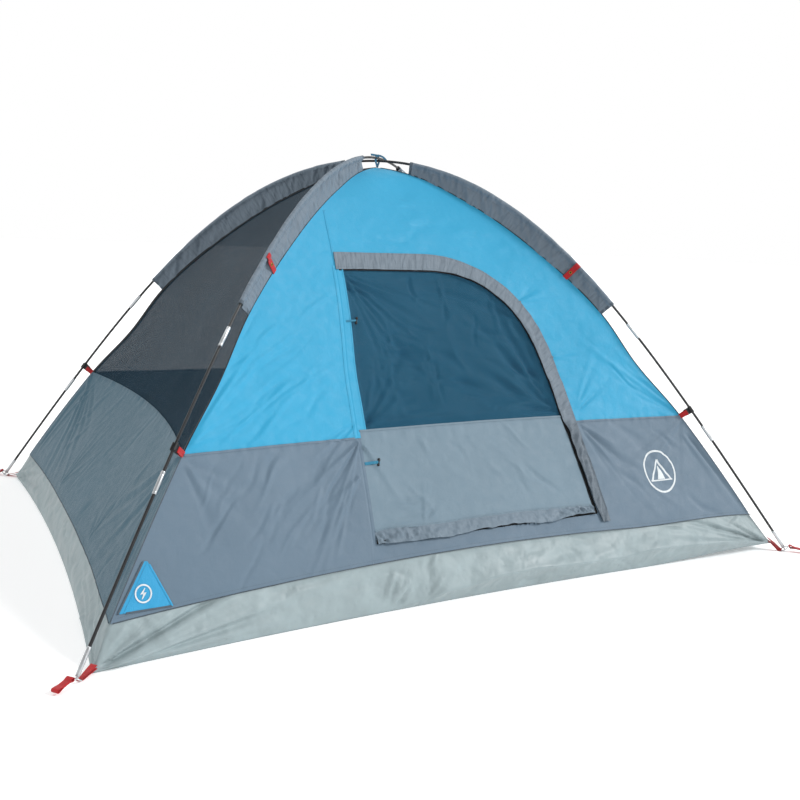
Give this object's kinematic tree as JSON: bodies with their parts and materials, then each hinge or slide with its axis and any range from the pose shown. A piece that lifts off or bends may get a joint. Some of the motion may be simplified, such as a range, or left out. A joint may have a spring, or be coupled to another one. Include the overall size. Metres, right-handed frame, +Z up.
{
  "type": "dome tent",
  "caption": "Free-standing dome tent with crossed poles in sleeves and clips, mesh upper walls, bathtub floor and a hinged zip door with a mesh window.",
  "frame": {"origin": "on the ground under the pole crossing", "axes": "+Z up; +X along the door wall, to the right as seen from outside; the door wall faces -Y"},
  "size_m": [2.5534, 2.0274, 1.3303],
  "materials": {
    "pole_fibreglass": "semi-gloss black pultruded rod",
    "steel": "bright plated steel",
    "clip_plastic": "satin black moulded plastic",
    "red_webbing": "woven polyester webbing",
    "blue_cloth": "coated polyester taffeta, soft sheen",
    "grey_cloth": "coated polyester taffeta, soft sheen",
    "sleeve_cloth": "coated polyester taffeta, puckered along its seams",
    "tub_cloth": "woven polyethylene sheet, crinkled, low gloss",
    "mesh": "fine black no-see-um mesh",
    "zip_tape": "black coil zip on woven tape",
    "zip_metal": "black painted zinc",
    "ribbon": "narrow woven ribbon"
  },
  "bodies": {
    "tent": {"corner_anchor_back_left": "steel", "corner_anchor_back_right": "steel", "corner_anchor_front_left": "steel", "corner_anchor_front_right": "steel", "door_zip": "zip_tape", "floor_tub": "tub_cloth", "front_lower_left": "grey_cloth", "front_lower_right": "grey_cloth", "front_upper_wall": "blue_cloth", "guy_tab_back_left": "red_webbing", "guy_tab_back_right": "red_webbing", "guy_tab_front_left": "red_webbing", "guy_tab_front_right": "red_webbing", "lower_wall_back": "grey_cloth", "lower_wall_left": "grey_cloth", "lower_wall_right": "grey_cloth", "mesh_wall_back": "mesh", "mesh_wall_left": "mesh", "mesh_wall_right": "mesh", "peak_tie": "ribbon", "pole_a_section_1": "pole_fibreglass", "pole_a_section_2": "pole_fibreglass", "pole_a_section_3": "pole_fibreglass", "pole_a_section_4": "pole_fibreglass", "pole_a_section_5": "pole_fibreglass", "pole_a_section_6": "pole_fibreglass", "pole_a_section_7": "pole_fibreglass", "pole_a_section_8": "pole_fibreglass", "pole_a_section_9": "pole_fibreglass", "pole_b_section_1": "pole_fibreglass", "pole_b_section_2": "pole_fibreglass", "pole_b_section_3": "pole_fibreglass", "pole_b_section_4": "pole_fibreglass", "pole_b_section_5": "pole_fibreglass", "pole_b_section_6": "pole_fibreglass", "pole_b_section_7": "pole_fibreglass", "pole_b_section_8": "pole_fibreglass", "pole_b_section_9": "pole_fibreglass", "pole_clip_back_left": "clip_plastic", "pole_clip_back_right": "clip_plastic", "pole_clip_front_left": "clip_plastic", "pole_clip_front_right": "clip_plastic", "sleeve_back_left": "sleeve_cloth", "sleeve_back_right": "sleeve_cloth", "sleeve_front_left": "sleeve_cloth", "sleeve_front_right": "sleeve_cloth", "storm_flap": "sleeve_cloth"},
    "cable_port_flap": {"cable_port_flap": "blue_cloth"},
    "door": {"door_foot_flap": "grey_cloth", "door_lower_panel": "grey_cloth", "door_privacy_cover": "blue_cloth", "door_window": "mesh"},
    "peg_loop_back_left": {"peg_loop_back_left": "red_webbing"},
    "peg_loop_back_right": {"peg_loop_back_right": "red_webbing"},
    "peg_loop_front_left": {"peg_loop_front_left": "red_webbing"},
    "peg_loop_front_right": {"peg_loop_front_right": "red_webbing"},
    "tie_back_lower": {"tie_back_lower": "ribbon"},
    "tie_back_upper": {"tie_back_upper": "ribbon"},
    "zip_slider_foot": {"zip_slider_foot": "zip_metal"},
    "zip_slider_side": {"zip_slider_side": "zip_metal"}
  },
  "joints": [
    {"name": "door_hinge", "type": "hinge", "parent": "tent", "child": "door", "pos_m": [-0.376, -0.82582, 0.195], "axis": [-0.0617, -0.5067, -0.8599], "range_deg": [0, 110]},
    {"name": "tie_back_upper_hinge", "type": "hinge", "parent": "door", "child": "tie_back_upper", "pos_m": [-0.32312, -0.48296, 0.78899], "axis": [0, -0.4454, -0.8953], "range_deg": [0, 60]},
    {"name": "tie_back_lower_hinge", "type": "hinge", "parent": "door", "child": "tie_back_lower", "pos_m": [-0.35172, -0.70623, 0.39439], "axis": [0, -0.532, -0.8467], "range_deg": [0, 60]},
    {"name": "zip_slider_foot_run", "type": "slide", "parent": "tent", "child": "zip_slider_foot", "axis": [-1, 0.0008, 0], "range_m": [0, 0.72]},
    {"name": "zip_slider_side_run", "type": "slide", "parent": "tent", "child": "zip_slider_side", "axis": [-0.0731, 0.5249, 0.848], "range_m": [0, 0.25]},
    {"name": "peg_loop_front_left_hinge", "type": "hinge", "parent": "tent", "child": "peg_loop_front_left", "pos_m": [-1.21334, -0.96056, 0.01996], "axis": [-0.6207, 0.784, 0], "range_deg": [0, 75]},
    {"name": "peg_loop_front_right_hinge", "type": "hinge", "parent": "tent", "child": "peg_loop_front_right", "pos_m": [1.21332, -0.96054, 0.02003], "axis": [-0.6207, -0.784, 0], "range_deg": [0, 75]},
    {"name": "peg_loop_back_right_hinge", "type": "hinge", "parent": "tent", "child": "peg_loop_back_right", "pos_m": [1.21334, 0.96056, 0.01996], "axis": [0.6207, -0.784, 0], "range_deg": [0, 75]},
    {"name": "peg_loop_back_left_hinge", "type": "hinge", "parent": "tent", "child": "peg_loop_back_left", "pos_m": [-1.21332, 0.96054, 0.02003], "axis": [0.6207, 0.784, 0], "range_deg": [0, 75]},
    {"name": "cable_port_hinge", "type": "hinge", "parent": "tent", "child": "cable_port_flap", "pos_m": [-1.07795, -0.87366, 0.12121], "axis": [-0.5124, -0.3678, -0.776], "range_deg": [0, 90]}
  ]
}
